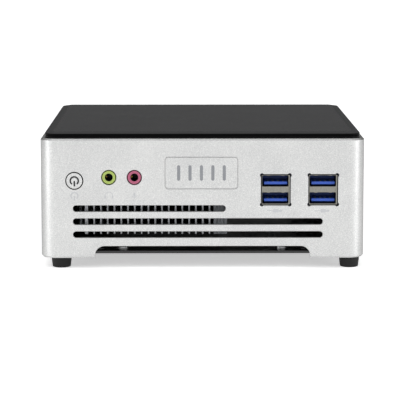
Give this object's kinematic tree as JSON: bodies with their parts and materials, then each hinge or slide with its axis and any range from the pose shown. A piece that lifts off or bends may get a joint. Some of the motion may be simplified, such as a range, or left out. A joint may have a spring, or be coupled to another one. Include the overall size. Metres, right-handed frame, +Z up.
{
  "type": "mini desktop computer",
  "caption": "Small square desktop computer: aluminium ring case with front vents and ports, black glossy lid, four rubber feet, and board, blower cooler and cards inside.",
  "frame": {"origin": "on the table, under the middle of the whole object's box", "axes": "+X to the right seen from the front, +Y from the front panel towards the back, +Z up"},
  "size_m": [0.154, 0.1632, 0.0654],
  "materials": {
    "ring_aluminium": "bead-blasted satin, clear anodised",
    "lid_frame_plastic": "black, satin",
    "lid_gloss": "black, polished, with a bevelled edge",
    "black_steel": "black powder coat",
    "foot_rubber": "black, slightly shiny",
    "screw_steel": "zinc plated",
    "port_metal": "nickel plated",
    "usb_blue": "blue, satin",
    "port_black": "black, satin",
    "jack_green": "lime green, satin",
    "jack_pink": "pink, satin",
    "circuit_board": "green solder mask",
    "chip_black": "black moulding",
    "fin_metal": "bare, as extruded",
    "fan_plastic": "black, satin",
    "bearing_brass": "sintered bronze",
    "motor_copper": "enamelled copper winding",
    "socket_plastic": "dark brown, satin",
    "cell_steel": "polished can",
    "antenna_brass": "gold plated"
  },
  "bodies": {
    "chassis": {"case_ring": "ring_aluminium", "badge_plate": "ring_aluminium", "lid_frame": "lid_frame_plastic", "lid_panel": "lid_gloss", "bottom_cover": "black_steel", "rear_plate": "black_steel", "foot_front_left": "foot_rubber", "foot_front_right": "foot_rubber", "foot_rear_left": "foot_rubber", "foot_rear_right": "foot_rubber", "foot_screw_front_left": "screw_steel", "foot_screw_front_right": "screw_steel", "foot_screw_rear_left": "screw_steel", "foot_screw_rear_right": "screw_steel", "board_screw_front_left": "screw_steel", "board_screw_front_right": "screw_steel", "board_screw_rear_left": "screw_steel", "board_screw_rear_right": "screw_steel", "heatsink_screw_front": "screw_steel", "heatsink_screw_rear": "screw_steel", "drive_card_screw": "screw_steel", "front_usb_shell_left": "port_metal", "front_usb_shell_right": "port_metal", "rear_usb_shell_inner": "port_metal", "rear_usb_shell_outer": "port_metal", "video_shell": "port_metal", "network_port": "port_metal", "radio_module": "port_metal", "front_usb_tongues_left": "usb_blue", "front_usb_tongues_right": "usb_blue", "power_switch": "port_black", "rear_usb_tongues_inner": "port_black", "rear_usb_tongues_outer": "port_black", "video_tongue": "port_black", "power_inlet": "port_black", "headphone_jack": "jack_green", "microphone_jack": "jack_pink", "main_board": "circuit_board", "memory_module": "circuit_board", "drive_card": "circuit_board", "processor": "chip_black", "heatsink": "fin_metal", "blower_housing": "fan_plastic", "blower_cover": "fan_plastic", "shaft_bearing": "bearing_brass", "motor_stator": "motor_copper", "memory_socket": "socket_plastic", "drive_socket": "socket_plastic", "coin_cell_holder": "socket_plastic", "coin_cell": "cell_steel", "antenna_jack_left": "antenna_brass", "antenna_jack_right": "antenna_brass", "antenna_nut_left": "antenna_brass", "antenna_nut_right": "antenna_brass"},
    "button": {"power_button": "ring_aluminium", "switch_plunger": "port_black"},
    "fan": {"impeller": "fan_plastic", "impeller_shaft": "screw_steel"},
    "latch_left": {"memory_latch_left": "screw_steel"},
    "latch_right": {"memory_latch_right": "screw_steel"}
  },
  "joints": [
    {"name": "button_press", "type": "slide", "parent": "chassis", "child": "button", "axis": [0, 1, 0], "range_m": [0, 0.0008], "stiffness_N_per_m": 800, "springref_m": -0.0004},
    {"name": "fan_spin", "type": "hinge", "parent": "chassis", "child": "fan", "pos_m": [-0.02185, -0.01585, 0.0262], "axis": [0, 0, 1], "continuous": true},
    {"name": "latch_left_flex", "type": "hinge", "parent": "chassis", "child": "latch_left", "pos_m": [-0.06455, -0.06315, 0.0507], "axis": [0, 0, 1], "range_deg": [0, 8], "stiffness_Nm_per_rad": 0.05},
    {"name": "latch_right_flex", "type": "hinge", "parent": "chassis", "child": "latch_right", "pos_m": [0.00915, -0.06315, 0.0507], "axis": [0, 0, -1], "range_deg": [0, 8], "stiffness_Nm_per_rad": 0.05}
  ]
}
